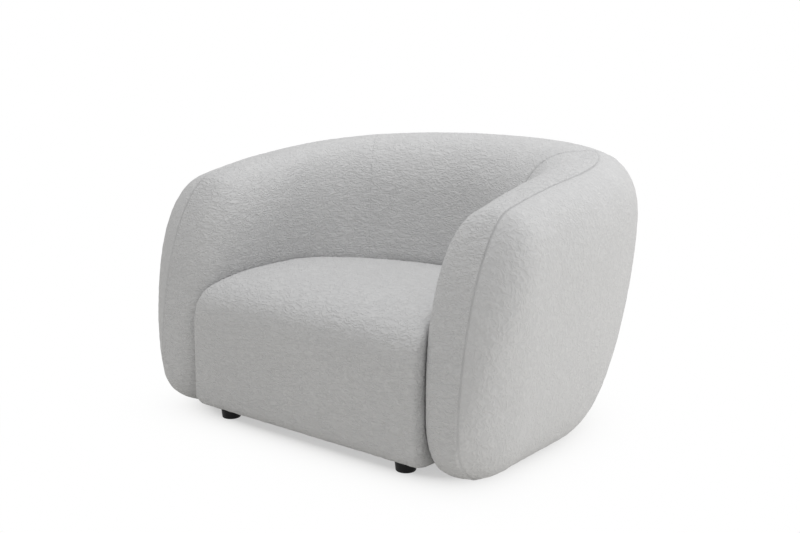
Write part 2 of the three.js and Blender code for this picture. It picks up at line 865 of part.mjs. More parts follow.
// Finishes
const finishes = {
  boucle: { color: 0xc8c8c8, roughness: 0.95, metalness: 0 },
  foam: { color: 0xe6dcb8, roughness: 0.9, metalness: 0 },
  felt: { color: 0x8f8b84, roughness: 0.95, metalness: 0 },
  lining: { color: 0x1a1a1a, roughness: 0.9, metalness: 0 },
  timber: { color: 0xc69c68, roughness: 0.7, metalness: 0 },
  plywood: { color: 0xd6b483, roughness: 0.7, metalness: 0 },
  springSteel: { color: 0x6f7276, roughness: 0.4, metalness: 1 },
  zincSteel: { color: 0xb4b7ba, roughness: 0.35, metalness: 1 },
  blackPlastic: { color: 0x161616, roughness: 0.5, metalness: 0 },
};

// The frame of the part has its origin on the floor under the middle of the chair
const chair = new THREE.Group();
const placed = new THREE.Group();
placed.position.y = -overallDepth / 2;
chair.add(placed);

function add(name, geometry, finish) {
  const mesh = new THREE.Mesh(geometry, new THREE.MeshStandardMaterial(finishes[finish]));
  mesh.name = name;
  placed.add(mesh);
}

function addPair(name, geometry, finish) {
  add(`${name}_left`, geometry, finish);
  add(`${name}_right`, mirrorX(geometry), finish);
}

addPair("arm_cover", armCover, "boucle");
add("back_cover", backCover, "boucle");
add("seat_cover", seatCover(), "boucle");
addPair("arm_foam", armFoam, "foam");
add("back_foam", backFoam, "foam");
add("seat_foam", seatFoam(), "foam");
add("spring_felt", feltPad(), "felt");
add("dust_cover", dustCover(), "lining");

add("front_rail", frontRail(), "timber");
add("rear_rail", rearRail(), "timber");
addPair("side_rail", sideRail(), "timber");
add("centre_bearer", centreBearer(), "timber");
addPair("rear_bearer", rearBearer(), "timber");
add("back_rail", backRail(), "timber");
addPair("front_corner_block", cornerBlock(true), "timber");
addPair("rear_corner_block", cornerBlock(false), "timber");

addPair("arm_rib_front", armRib(rib.armFront), "plywood");
addPair("arm_rib_rear", armRib(armRibRear), "plywood");
addPair("arm_slat_upper", armSlat(true, 0), "timber");
addPair("arm_slat_lower", armSlat(false, 0), "timber");
addPair("back_rib", backRib(backRibX), "plywood");
add("back_rib_middle", backRib(0), "plywood");
add("back_slat_top", backSlatTop(0), "timber");
add("back_slat_lumbar", backSlatLumbar(0), "timber");

for (let i = 0; i < springCount; i += 1) {
  const x = (i - (springCount - 1) / 2) * springSpacing;
  add(`seat_spring_${i + 1}`, springShape(x), "springSteel");
  add(`spring_clip_front_${i + 1}`, clipShape(x, firstBarY, 1), "zincSteel");
  add(`spring_clip_rear_${i + 1}`, clipShape(x, lastBarY, -1), "zincSteel");
}

for (const [name, y] of armBoltPlaces) addPair(`arm_bolt_${name}`, armBoltAt(y, 0), "zincSteel");
for (const [name, x, y] of footPlaces) {
  add(`foot_${name}`, footShape(x, y), "blackPlastic");
  add(`foot_bolt_${name}`, footBoltAt(x, y, 0), "zincSteel");
}

export default chair;
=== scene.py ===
# %% [markdown]
# # A tub chair in looped wool
# The chair is four stuffed forms round a hidden timber frame: two arms, a back that joins
# them in one curve, and a deep seat block between them. The measured frame is loaded first.
# Everything soft is then made here, in metres, in the frame's own place, so nothing has to be
# fitted afterwards. The dressed chair has to stay about that size.

# %% Load the measured frame
import math

import bmesh
import bpy
import numpy as np
from mathutils import Matrix, Vector, noise
from mathutils.bvhtree import BVHTree


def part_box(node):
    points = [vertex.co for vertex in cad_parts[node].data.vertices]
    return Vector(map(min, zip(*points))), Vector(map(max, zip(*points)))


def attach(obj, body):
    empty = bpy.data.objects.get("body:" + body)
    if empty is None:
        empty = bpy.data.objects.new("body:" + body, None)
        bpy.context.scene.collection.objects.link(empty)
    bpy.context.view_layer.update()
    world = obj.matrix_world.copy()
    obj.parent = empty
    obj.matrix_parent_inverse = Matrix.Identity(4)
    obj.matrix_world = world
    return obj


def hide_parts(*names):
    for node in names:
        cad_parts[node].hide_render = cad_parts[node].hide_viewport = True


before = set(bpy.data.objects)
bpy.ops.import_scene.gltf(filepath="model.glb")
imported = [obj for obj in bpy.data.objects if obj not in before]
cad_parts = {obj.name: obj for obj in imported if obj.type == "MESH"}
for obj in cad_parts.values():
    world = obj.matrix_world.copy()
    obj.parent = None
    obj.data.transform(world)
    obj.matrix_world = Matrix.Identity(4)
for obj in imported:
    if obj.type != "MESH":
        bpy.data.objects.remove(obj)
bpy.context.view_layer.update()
MM = 0.001
scene = bpy.context.scene

# %% [markdown]
# ## Helpers for objects
# A mesh is a list of points and a list of faces. An object is a name and its data, linked into
# the scene. Both are made many times below, so each has a helper, and so have smooth shading
# and the groups of weighted points that tell a modifier where to work.

# %% Helpers for meshes and objects
def new_mesh(name, points, faces):
    mesh = bpy.data.meshes.new(name)
    mesh.from_pydata(points, [], faces)
    return mesh


def new_object(name, data):
    thing = bpy.data.objects.new(name, data)
    scene.collection.objects.link(thing)
    return thing


def shade_smooth(mesh):
    mesh.polygons.foreach_set("use_smooth", [True] * len(mesh.polygons))


def group_points(thing, name, weights):
    group = thing.vertex_groups.new(name=name)
    for index in np.nonzero(weights > 0.01)[0]:
        group.add([int(index)], float(weights[index]), "REPLACE")


# %% [markdown]
# ## The camera
# The chair was photographed from its front left, from a little above the arms. The angles,
# the distance and the lens come from fitting the outlines of the pods to the photograph, to
# less than a pixel. A camera is placed most surely by its three axes: to its right, up, and
# back towards the photographer. That is one matrix, with no tracking and no guessing.

# %% Place the camera
turn, tilt = math.radians(38.6), math.radians(12.1)
camera_right = Vector((math.cos(turn), math.sin(turn), 0))
camera_up = Vector((-math.sin(turn) * math.sin(tilt), math.cos(turn) * math.sin(tilt), math.cos(tilt)))
camera_back = camera_right.cross(camera_up)
aim = Vector((0, 0, 0.336))

photo_camera = new_object("photo_camera", bpy.data.cameras.new("photo_camera"))
photo_camera.data.lens = 50.8
photo_camera.data.sensor_width = 36
place = aim + camera_back * 2.972 - camera_right * 0.0583 + camera_up * 0.0217
axes = Matrix((camera_right, camera_up, camera_back)).transposed().to_4x4()
photo_camera.matrix_world = Matrix.Translation(place) @ axes
scene.camera = photo_camera
print("camera at", [round(value, 3) for value in place])

# %% [markdown]
# ## Helpers for materials
# Each finish below is a small tree of shader nodes. Three helpers keep the trees short: one
# starts a material with its main shader, one adds a node and sets its sockets, and one joins an
# output to an input. A constant goes straight on the shader's own socket, because that is what
# a model export can read.

# %% Helpers for shader trees
def new_finish(name, **sockets):
    material = bpy.data.materials.new(name)
    material.use_nodes = True
    shader = material.node_tree.nodes["Principled BSDF"]
    for socket, value in sockets.items():
        shader.inputs[socket.replace("_", " ")].default_value = value
    return material, material.node_tree, shader


def add_node(tree, kind, **settings):
    node = tree.nodes.new("ShaderNode" + kind)
    for key, value in settings.items():
        socket = key.replace("_", " ")
        if socket in node.inputs:
            node.inputs[socket].default_value = value
        else:
            setattr(node, key, value)
    return node


def wire(tree, start, output, end, socket):
    tree.links.new(start.outputs[output], end.inputs[socket])


# %% [markdown]
# ## Floor and light
# The photograph is a studio cut-out: the floor is white almost everywhere, with only a faint
# grey pool where the chair nearly touches it. A real white floor under soft light would show
# a long shadow. So the floor looks brighter to the camera than it is to the light: seen
# directly, half of its white under the chair is its own glow, and the rest is lit, which keeps
# the pool. Outside the chair's footprint the glow soon takes over. The footprint is a rounded
# oblong in front and a rounder curve behind, so its distance is worked out with a few powers.

# %% A white floor that keeps a faint shadow
def white_to_the_camera(tree, lit, share):
    sight = add_node(tree, "LightPath")
    glow = add_node(tree, "Emission", Strength=1.0)
    seen = add_node(tree, "MixShader")
    tree.links.new(share, seen.inputs["Fac"])
    tree.links.new(lit, seen.inputs[1])
    wire(tree, glow, "Emission", seen, 2)
    either = add_node(tree, "Math", operation="MAXIMUM")
    wire(tree, sight, "Is Camera Ray", either, 0)
    wire(tree, sight, "Is Glossy Ray", either, 1)
    final = add_node(tree, "MixShader")
    wire(tree, either, "Value", final, "Fac")
    tree.links.new(lit, final.inputs[1])
    wire(tree, seen, "Shader", final, 2)
    return final


def calculate(tree, operation, first, second=0.0):
    step = add_node(tree, "Math", operation=operation)
    for socket, value in zip(step.inputs, (first, second)):
        if isinstance(value, float):
            socket.default_value = value
        else:
            tree.links.new(value, socket)
    return step.outputs["Value"]


def rounded(tree, across, along, power):
    raised = [calculate(tree, "POWER", part, power) for part in (across, along)]
    return calculate(tree, "POWER", calculate(tree, "ADD", *raised), 1 / power)


def footprint_distance(tree, half_across, front, rear, widest):
    parts = add_node(tree, "SeparateXYZ")
    wire(tree, add_node(tree, "TexCoord"), "Object", parts, "Vector")
    across = calculate(tree, "DIVIDE", calculate(tree, "ABSOLUTE", parts.outputs["X"]), half_across)
    forward = calculate(tree, "MAXIMUM", calculate(tree, "DIVIDE", parts.outputs["Y"], -front), 0.0)
    rearward = calculate(tree, "SUBTRACT", parts.outputs["Y"], widest)
    rearward = calculate(tree, "MAXIMUM", calculate(tree, "DIVIDE", rearward, rear), 0.0)
    return calculate(
        tree, "MAXIMUM", rounded(tree, across, forward, 6.0), rounded(tree, across, rearward, 2.2))


floor_finish, floor_tree, floor_shader = new_finish(
    "studio_floor", Base_Color=(0.87, 0.855, 0.82, 1), Roughness=0.9)
away = footprint_distance(floor_tree, half_across=0.475, front=0.473, rear=0.46, widest=-0.135)
beyond = calculate(floor_tree, "MAXIMUM", calculate(floor_tree, "SUBTRACT", away, 0.93), 0.0)
shadow_left = calculate(floor_tree, "EXPONENT", calculate(floor_tree, "DIVIDE", beyond, -0.09))
glow_share = calculate(floor_tree, "SUBTRACT", 1.0, calculate(floor_tree, "MULTIPLY", shadow_left, 0.5))
floor_mix = white_to_the_camera(floor_tree, floor_shader.outputs["BSDF"], glow_share)
wire(floor_tree, floor_mix, "Shader", floor_tree.nodes["Material Output"], "Surface")

reach = 14
floor_corners = [(-reach, -reach, 0), (reach, -reach, 0), (reach, reach, 0), (-reach, reach, 0)]
studio_floor = new_object("studio_floor", new_mesh("studio_floor", floor_corners, [(0, 1, 2, 3)]))
studio_floor.data.materials.append(floor_finish)

# %% A plain pale sky, white where the camera sees it
world = bpy.data.worlds.new("studio_world")
world.use_nodes = True
scene.world = world
sky = world.node_tree
fill = sky.nodes["Background"]
fill.inputs["Color"].default_value = (1.0, 1.0, 1.0, 1)
fill.inputs["Strength"].default_value = 0.59
white = add_node(sky, "Background", Color=(1.0, 1.0, 1.0, 1), Strength=1.0)
seen_white = add_node(sky, "MixShader")
sight = add_node(sky, "LightPath")
wire(sky, sight, "Is Camera Ray", seen_white, "Fac")
wire(sky, fill, "Background", seen_white, 1)
wire(sky, white, "Background", seen_white, 2)
wire(sky, seen_white, "Shader", sky.nodes["World Output"], "Surface")

# %% Two soft lamps
def soft_lamp(name, place, target, size, power):
    data = bpy.data.lights.new(name, "AREA")
    data.shape, data.size, data.energy = "DISK", size, power
    lamp = new_object(name, data)
    lamp.location = place
    lamp.rotation_euler = (Vector(target) - Vector(place)).to_track_quat("-Z", "Y").to_euler()


soft_lamp("top_light", (0.2, 0.5, 3.2), (0, 0, 0.35), 2.4, 39)
soft_lamp("side_light", (3.3, 0.6, 0.9), (0, 0, 0.35), 1.6, 23)
scene.view_settings.view_transform = "Standard"

# %% [markdown]
# ## The sizes of the wrap
# The measured model draws its pods from a few sizes, and the same sizes are repeated here, in
# millimetres. From above, the outer and inner edges of the wrap are superellipses, which are
# ellipses with fuller or flatter corners. From the side, each slice through the wrap is a
# rounded upright loaf: walls that join a deep crown on top and a rounder belly underneath. The
# sizes that end in curve are powers, mostly of superellipses, where 2 gives a plain ellipse.

# %% Sizes, in millimetres
width, depth, height = 1140.0, 986.0, 678.0
arm_thickness, nose_inset, nose_inner, nose_outer, nose_flat = 242.0, 116.0, 219.0, 144.0, 2.0
straight, nose_height, shoulder, front_top, front_bottom = 358.0, 98.0, 501.0, 181.0, 124.0
arm_bottom, crown_height, arm_belly, arm_tuck, tuck_rise = 8.0, 165.0, 128.0, 44.0, 60.0
back_thickness, recline, back_bottom, back_belly, back_tuck = 382.0, 82.0, 34.0, 414.0, 120.0
seam_turn = math.radians(46.5)
roundness, full_shoulder = 2.61, 3.2
seat_half, seat_front, seat_top, seat_bottom = 361.0, 5.0, 372.0, 27.5
seat_corner, corner_run, corner_run_low = 14.0, 60.0, 26.0
seat_run, seat_drop, seat_belly, seat_crown, seat_rear, seat_round = 263.0, 133.0, 34.0, 5.0, 640.0, 30.0
seat_fall, lean_from = 28.0, 355.0
nose_inner_curve, nose_outer_curve, nose_bottom_curve, nose_top_curve = 2.87, 1.7, 2.05, 1.82
back_inner_curve, back_outer_curve, ridge_curve, tuck_curve = 1.7, 2.41, 0.4, 1.9
seat_curve, seat_fall_curve = 3.2, 1.5
half_width = width / 2
nose_x, inner_x = half_width - nose_inset, half_width - arm_thickness

# The hidden timber base, and the space that it needs
base_side, base_front, base_rear, post_side, post_rear = 332.0, 48.7, 632.3, 235.3, 725.3
base_floor, base_top, foam_floor = 30.6, 188.1, 200.0
rail_behind = 81.0

# %% [markdown]
# ## From a slice to a pod
# A slice is worked out as columns of points, all at once with arrays. Rows of slices along
# an arm, round the back and along the other arm make one skin, and a fan of faces closes each
# end. The real chair has three pods sewn together. Modelling them as one form first and
# cutting it at the seams later keeps the surface running smoothly from pod to pod.

# %% Superellipse helpers
def signed_power(value, power):
    return np.sign(value) * np.abs(value) ** power


def grow_round(distance, length, power):
    left = np.clip(1 - distance / length, 0, 1)
    return (1 - left ** power) ** (1 / power)


def ease(value):
    share = np.clip(value, 0, 1)
    return share * share * (3 - 2 * share)


def mix(start, end, share):
    return start + (end - start) * share


# %% One slice of the wrap
WALL, CROWN, BELLY = 10, 44, 34


def arch(steps, start, rise, inner_side=roundness):
    turned = np.pi * np.arange(steps) / steps
    power = 2 / np.where(np.cos(turned) < 0, inner_side, roundness)
    share = 0.5 + 0.5 * signed_power(np.cos(turned), power)
    return share, start + rise * np.sin(turned) ** power


def slice_points(inner, outer, bottom, top, belly, tuck, lean, crown, shoulder_side):
    crown = min(crown, (top - bottom) / 2)
    belly = min(belly, (top - bottom) / 2)
    wall_top, wall_bottom = top - crown, bottom + belly
    rise = np.arange(WALL) / WALL
    crown_share, crown_z = arch(CROWN, wall_top, crown, shoulder_side)
    belly_share, belly_z = arch(BELLY, wall_bottom, -belly)
    share = np.concatenate([np.ones(WALL), crown_share, np.zeros(WALL), 1 - belly_share])
    z = np.concatenate([
        mix(wall_bottom, wall_top, rise), crown_z, mix(wall_top, wall_bottom, rise), belly_z])
    tuck_top = wall_top + tuck_rise
    low = np.clip((tuck_top - z) / (tuck_top - bottom), 0, 1) ** tuck_curve
    high = np.clip((z - lean_from) / (top - lean_from), 0, 1)
    shift = lean * high * (1 - share) - tuck * low * share
    across = outer - inner
    outward = across / np.linalg.norm(across)
    plan = inner + across * share[:, None] + outward * shift[:, None]
    return np.column_stack([plan, z])


def ridge(y):
    front = grow_round(y, front_top, nose_top_curve)
    rise = np.clip(y / (depth - back_thickness / 2), 0, 1) ** ridge_curve
    return mix(nose_height, shoulder, front) + (height - shoulder) * rise


# %% Slices of an arm and of the corner
def arm_slice(distance, inset=0.0):
    y = distance + nose_flat
    inward, outward = grow_round(y, nose_inner, nose_inner_curve), grow_round(y, nose_outer, nose_outer_curve)
    inner = np.array([mix(nose_x, inner_x, inward) + inset, distance])
    outer = np.array([mix(nose_x, half_width, outward) - inset, distance])
    bottom = mix(nose_height, arm_bottom, grow_round(y, front_bottom, nose_bottom_curve))
    tuck = arm_tuck * grow_round(y, nose_inner, 2)
    fuller = mix(roundness, full_shoulder, ease((distance - 200) / 160))
    return slice_points(inner, outer, bottom + inset, ridge(y) - inset, arm_belly - inset, tuck, 0,
                        crown_height - inset, fuller)


def corner_slice(angle, inset=0.0):
    c, s = math.cos(angle), math.sin(angle)
    run, inner_power, outer_power = depth - straight, 2 / back_inner_curve, 2 / back_outer_curve
    inner_run = run - back_thickness
    inner = np.array([inner_x * signed_power(c, inner_power), straight + inner_run * s ** inner_power])
    outer = np.array([half_width * signed_power(c, outer_power), straight + run * s ** outer_power])
    outward = (outer - inner) / np.linalg.norm(outer - inner)
    share = ease(angle / math.radians(45))
    behind = ease((angle - seam_turn) / (math.radians(75) - seam_turn))
    return slice_points(
        inner + outward * inset, outer - outward * inset, mix(arm_bottom, back_bottom, behind) + inset,
        ridge((inner[1] + outer[1]) / 2) - inset, mix(arm_belly, back_belly, share) - inset,
        mix(arm_tuck, back_tuck, share), recline * share, crown_height - inset,
        mix(full_shoulder, roundness, ease((angle - seam_turn) / 0.3 + 0.5)))


# %% Rows of slices from one nose to the other
def wrap_rows():
    nose = [arm_slice(nose_inner * share ** 2) for share in np.linspace(0, 1, 26)]
    rest = [arm_slice(distance) for distance in np.linspace(nose_inner, straight, 12)[1:-1]]
    corner = [corner_slice(turn) for turn in np.linspace(0, math.pi / 2, 56)]
    half = nose + rest + corner
    other = [ring * np.array([-1, 1, 1]) for ring in half[-2::-1]]
    return half + other


# %% From rows to a closed skin
def skin(name, rings):
    rings = np.array(rings)
    rows, sides = rings.shape[:2]
    points = (rings.reshape(-1, 3) + np.array([0, -depth / 2, 0])) * MM
    faces = []
    for row in range(rows - 1):
        for side in range(sides):
            after = (side + 1) % sides
            a, b = row * sides + side, row * sides + after
            faces.append((a, a + sides, b + sides, b))
    for row, flip in ((0, False), (rows - 1, True)):
        middle = len(points)
        points = np.vstack([points, points[row * sides:(row + 1) * sides].mean(axis=0)])
        for side in range(sides):
            pair = (row * sides + side, row * sides + (side + 1) % sides)
            faces.append((middle, *(pair[::-1] if flip else pair)))
    return new_object(name, new_mesh(name, points.tolist(), faces))


wrap = skin("wrap", wrap_rows())
print("wrap:", len(wrap.data.vertices), "points")

# %% [markdown]
# ## The seat block
# The seat is one deep upholstered block, drawn as side profiles from right to left: a low
# belly at the bottom, a long slow curve from the front to the top, and a top that falls
# gently to the rear. Its front corners turn in quickly and run back into the gap beside each
# arm, less so near the floor. The block is drawn too wide on purpose. The wrap, a hair larger
# than it is, is then cut out of it, so its sides follow the arms and its rear the back.

# %% Profiles of the seat block
def seat_slice(x):
    into = np.clip((abs(x) - seat_half + seat_corner) / seat_corner, 0, 1)
    recess = 1 - math.sqrt(1 - into * into)
    front, front_low = seat_front + corner_run * recess, seat_front + corner_run_low * recess
    top = seat_top - seat_crown * (x / seat_half) ** 2
    low = np.linspace(0, math.pi / 2, 9)
    high = np.linspace(0, math.pi / 2, 29)
    back = np.linspace(0, 1, 10)[1:]
    y = [[seat_rear], front_low + seat_belly * (1 - np.sin(low)),
         front + seat_run * (1 - np.cos(high) ** (2 / seat_curve)),
         mix(front + seat_run, seat_rear - seat_round, back), [seat_rear]]
    z = [[seat_bottom], seat_bottom + seat_belly * (1 - np.cos(low)),
         top - seat_drop * (1 - np.sin(high) ** (2 / seat_curve)),
         top - seat_fall * back ** seat_fall_curve, [top - seat_fall - seat_round]]
    y, z = np.concatenate(y), np.concatenate(z)
    return np.column_stack([np.full(len(y), x), y, z])


def seat_rows():
    flat = np.linspace(0, seat_half - seat_corner, 24)
    bend = seat_half - seat_corner + seat_corner * np.sin(np.linspace(0, math.pi / 2, 12))[1:]
    right = np.concatenate([flat, bend])
    return [seat_slice(x) for x in np.concatenate([-right[:0:-1], right])]


seat_pad = skin("seat_pad", seat_rows())
print("seat:", len(seat_pad.data.vertices), "points")

# %% Grow or shrink a closed form along its normals
def read_points(mesh):
    points = np.empty(len(mesh.vertices) * 3)
    mesh.vertices.foreach_get("co", points)
    return points.reshape(-1, 3)


def write_points(mesh, points):
    mesh.vertices.foreach_set("co", np.ascontiguousarray(points, dtype=np.float32).ravel())
    mesh.update()


def read_normals(mesh):
    normals = np.empty(len(mesh.vertices) * 3)
    mesh.vertices.foreach_get("normal", normals)
    return normals.reshape(-1, 3)


def grown_copy(thing, amount, name):
    mesh = thing.data.copy()
    write_points(mesh, read_points(mesh) + read_normals(mesh) * amount)
    return new_object(name, mesh)


# %% Keep the result of a modifier and drop the modifier
def settle(thing):
    shaped = thing.evaluated_get(bpy.context.evaluated_depsgraph_get())
    mesh = bpy.data.meshes.new_from_object(shaped)
    old = thing.data
    thing.modifiers.clear()
    thing.data = mesh
    mesh.name = thing.name
    bpy.data.meshes.remove(old)


def cut_away(thing, cutters):
    for cutter in cutters:
        carve = thing.modifiers.new("carve", "BOOLEAN")
        carve.operation, carve.solver, carve.object = "DIFFERENCE", "MANIFOLD", cutter
    settle(thing)


def discard(*things):
    for thing in things:
        bpy.data.objects.remove(thing, do_unlink=True)


# %% Cut the wrap out of the seat block
wrap_room = grown_copy(wrap, 0.6 * MM, "wrap_room")
cut_away(seat_pad, [wrap_room])
discard(wrap_room)
print("seat after the cut:", len(seat_pad.data.vertices), "points")

# %% [markdown]
# ## Even out the meshes
# Cloth behaves the same all over only if its mesh is even all over. A voxel remesh gives one
# close quad skin of nearly equal faces, and a few smoothing passes settle it. The cut left
# razor edges on the seat block, where a real one rolls over softly before it meets the arms.
# So its rim, which is every point near the wrap, gets many more smoothing passes.

# %% Voxel remesh
def even_out(thing, voxel, passes):
    remesh = thing.modifiers.new("even", "REMESH")
    remesh.mode, remesh.voxel_size, remesh.use_smooth_shade = "VOXEL", voxel, True
    soften = thing.modifiers.new("soften", "SMOOTH")
    soften.factor, soften.iterations = 0.5, passes
    settle(thing)
    print(thing.name, len(thing.data.vertices), "points")


even_out(wrap, 10 * MM, 1)
even_out(seat_pad, 9 * MM, 2)

# %% Where one form leans on the other
def leaning(thing, others, near, far):
    points = read_points(thing.data)
    least = np.full(len(points), far)
    for other in others:
        tree = BVHTree.FromObject(other, bpy.context.evaluated_depsgraph_get())
        for index, point in enumerate(points):
            found = tree.find_nearest(Vector(point), far)
            if found[3] is not None and found[3] < least[index]:
                least[index] = found[3]
    return 1 - ease((least - near) / (far - near))


# %% Roll the rim of the seat over
def roll_rim(thing, other, passes):
    points = read_points(thing.data)
    height = points[:, 2] / MM
    rim = leaning(thing, [other], 14 * MM, 44 * MM) * ease((height - 60) / 60)
    rim = rim * mix(0.15, 1, ease((height - 250) / 80))
    group_points(thing, "rim", rim)
    soften = thing.modifiers.new("soften", "SMOOTH")
    soften.factor, soften.iterations, soften.vertex_group = 0.5, passes, "rim"
    settle(thing)
    thing.vertex_groups.clear()
    moved = np.linalg.norm(read_points(thing.data) - points, axis=1) / MM
    print("the rim rolls in by up to", round(float(moved.max()), 1), "mm")


roll_rim(seat_pad, wrap, 24)

# %% [markdown]
# ## Stuff the pods
# A stuffed cover is a skin under even pressure from inside, held where it is sewn or where it
# leans on its neighbour. Blender's cloth does just that: pressure pushes the skin out, the
# pinned seams stay, and the fabric between them crowns and puckers. Points near a neighbour
# are pinned, so two pods never push through each other. The cloth is stopped after 20 frames,
# and how far each point has moved out is its swell. The cover of the real chair is drawn tight
# over firm foam and shows no creases. So the swell is evened out between neighbouring points,
# and the foam lets the cover follow only part of it: 3 mm outwards, or 1 mm in, at the most.

# %% Where the seams run
# The outer panel of an arm is sewn to its band about 100 mm inside the outer edge of the wrap,
# a little more behind than in front. The back is sewn to each arm in an upright plane across
# the corner of the wrap.
seam_inset, seam_inset_behind = 100.0, 108.0
seam_plan = [
    (half_width - seam_inset, 0.0),
    (half_width - mix(seam_inset, seam_inset_behind, 0.4), straight)]
for corner_turn in np.linspace(0, seam_turn, 20)[1:]:
    outline = corner_slice(corner_turn)[[WALL, WALL + CROWN], :2]
    across = (outline[0] - outline[1]) / np.linalg.norm(outline[0] - outline[1])
    inset = mix(seam_inset, seam_inset_behind, mix(0.4, 1, corner_turn / seam_turn))
    seam_plan.append(tuple(outline[0] - across * inset))
seam_plan = np.array(seam_plan)
crease_foot, crease_along = outline[0], np.array([-across[1], across[0]])


def seam_place(y):
    return np.interp(y / MM + depth / 2, seam_plan[:, 1], seam_plan[:, 0]) * MM


def beside_seam(points):
    return np.abs(points[:, 0]) - seam_place(points[:, 1])


def past_crease(points):
    plan = np.column_stack([np.abs(points[:, 0]) / MM, points[:, 1] / MM + depth / 2])
    return (plan - crease_foot) @ crease_along * MM


print("the seam meets the crease at", seam_plan[-1].round(0))


# %% Even out a value between neighbouring points
def even_between(values, pairs, free, passes):
    neighbours = np.bincount(pairs.ravel(), minlength=len(values))
    for _ in range(passes):
        total = np.bincount(pairs[:, 0], values[pairs[:, 1]], len(values))
        total += np.bincount(pairs[:, 1], values[pairs[:, 0]], len(values))
        values = values + (total / neighbours - values) * 0.7 * free
    return values


# %% Blow up a pod against its seams
def stuff(thing, held, pressure, start_inside):
    shape, normals = read_points(thing.data), read_normals(thing.data)
    write_points(thing.data, shape - normals * (start_inside * (1 - held))[:, None])
    group_points(thing, "held", held)
    cloth = thing.modifiers.new("stuffing", "CLOTH")
    cloth.settings.use_pressure = True
    cloth.settings.uniform_pressure_force = pressure
    cloth.settings.effector_weights.gravity = 0
    cloth.settings.vertex_group_mass = "held"
    cloth.point_cache.frame_start, cloth.point_cache.frame_end = 1, 20
    for number in range(1, 21):
        scene.frame_set(number)
    settle(thing)
    scene.frame_set(1)
    thing.vertex_groups.clear()
    pairs = np.empty(len(thing.data.edges) * 2, dtype=np.int32)
    thing.data.edges.foreach_get("vertices", pairs)
    pairs = pairs.reshape(-1, 2)
    swell = np.einsum("ij,ij->i", read_points(thing.data) - shape, normals)
    swell = np.clip(0.3 * even_between(swell, pairs, 1 - held, 60), -1 * MM, 3 * MM)
    swell = even_between(swell, pairs, 1 - held, 10)
    write_points(thing.data, shape + normals * swell[:, None])
    low, middle, high = (round(float(value) / MM, 1) for value in np.percentile(swell, (5, 50, 95)))
    print(thing.name, "swells by", low, "to", high, "mm, mostly", middle)


# %% Stuff the wrap and the seat
wrap_points = read_points(wrap.data)
wrap_held = leaning(wrap, [seat_pad], 3 * MM, 20 * MM)
at_seam = 0.85 * np.exp(-(beside_seam(wrap_points) / (7 * MM)) ** 2) * (past_crease(wrap_points) < 0)
at_crease = np.exp(-(past_crease(wrap_points) / (8 * MM)) ** 2)
wrap_held = np.maximum.reduce([wrap_held, at_seam, at_crease])
seat_held = leaning(seat_pad, [wrap], 3 * MM, 20 * MM)
seat_held = np.maximum(seat_held, 1 - ease((read_points(seat_pad.data)[:, 2] / MM - 32) / 25))
stuff(wrap, wrap_held, pressure=4.0, start_inside=3.5 * MM)
stuff(seat_pad, seat_held, pressure=3.0, start_inside=3 * MM)

# %% Finer skins
def refine(thing):
    finer = thing.modifiers.new("finer", "SUBSURF")
    finer.levels = finer.render_levels = 1
    settle(thing)
    shade_smooth(thing.data)


for thing in (wrap, seat_pad):
    refine(thing)
print("faces:", len(wrap.data.polygons), len(seat_pad.data.polygons))

# %% [markdown]
# ## The nap of the cloth
# The cloth is a boucle: its yarn is spun in small curls, so the surface is a close field of
# knots and loops a few millimetres across. The largest of them are real bumps in the mesh,
# which also roughens the outline of the chair. The finer curls are left to the shader. Where
# two forms lean on each other the nap is pressed flat, so it fades out there.

# %% Raise the larger curls
def raise_nap(thing, others, tall):
    mesh = thing.data
    points, normals = read_points(mesh), read_normals(mesh)
    free = 1 - leaning(thing, others, 1 * MM, 7 * MM)
    lift = np.empty(len(points))
    for index, point in enumerate(points):
        place = Vector(point)
        lift[index] = 0.6 * noise.noise(place * 80) + 0.4 * noise.noise(place * 36)
    write_points(mesh, points + normals * (lift * free * tall)[:, None])


raise_nap(wrap, [seat_pad], tall=1.1 * MM)
raise_nap(seat_pad, [wrap], tall=1.1 * MM)

# %% [markdown]
# ## The sewn seams
# A plain seam is two cut edges sewn face to face and turned inside. From outside it is a thin
# valley with a soft lip on one side, where the folded seam allowance lifts the cover. The skin
# has no edge just there, so it is first sliced along the seam and beside it, and then the
# points near the seam move in or out by how far they are from it.

# %% Slice a skin along a plane, near one place only
def slice_skin(form, near, place, normal):
    parts = list({vert for face in near for vert in face.verts})
    parts += list({edge for face in near for edge in face.edges}) + near
    bmesh.ops.bisect_plane(form, geom=parts, dist=0.1 * MM, plane_co=place, plane_no=normal)


def centres(form):
    return np.array([face.calc_center_median() for face in form.faces])


# %% Slice the wrap along its four seams
# The slicing tool only knows flat planes. So for each arm seam the whole wrap is slid
# sideways until that seam is straight, sliced, and slid back.
form = bmesh.new()
form.from_mesh(wrap.data)
for side in (1, -1):
    normal = Vector((side * crease_along[0], crease_along[1], 0))
    for offset in (-16, -9, -5, -2.5, 0, 2.5, 5, 9, 16):
        place = Vector((side * crease_foot[0], crease_foot[1] - depth / 2, 0)) * MM + normal * offset * MM
        middle = centres(form)
        chosen = (middle[:, 0] * side > 0) & (np.abs(past_crease(middle) - offset * MM) < 14 * MM)
        slice_skin(form, [face for face, pick in zip(form.faces, chosen) if pick], place, normal)
    for offset in (-11, -6.5, -3, 0, 3, 6.5, 11):
        middle = centres(form)
        chosen = (middle[:, 0] * side > 0) & (np.abs(beside_seam(middle) - offset * MM) < 12 * MM)
        chosen &= past_crease(middle) < 0
        near = [face for face, pick in zip(form.faces, chosen) if pick]
        for vert in form.verts:
            vert.co.x -= seam_place(vert.co.y) * side
        slice_skin(form, near, (side * offset * MM, 0, 0), (1, 0, 0))
        for vert in form.verts:
            vert.co.x += seam_place(vert.co.y) * side
middle = centres(form)
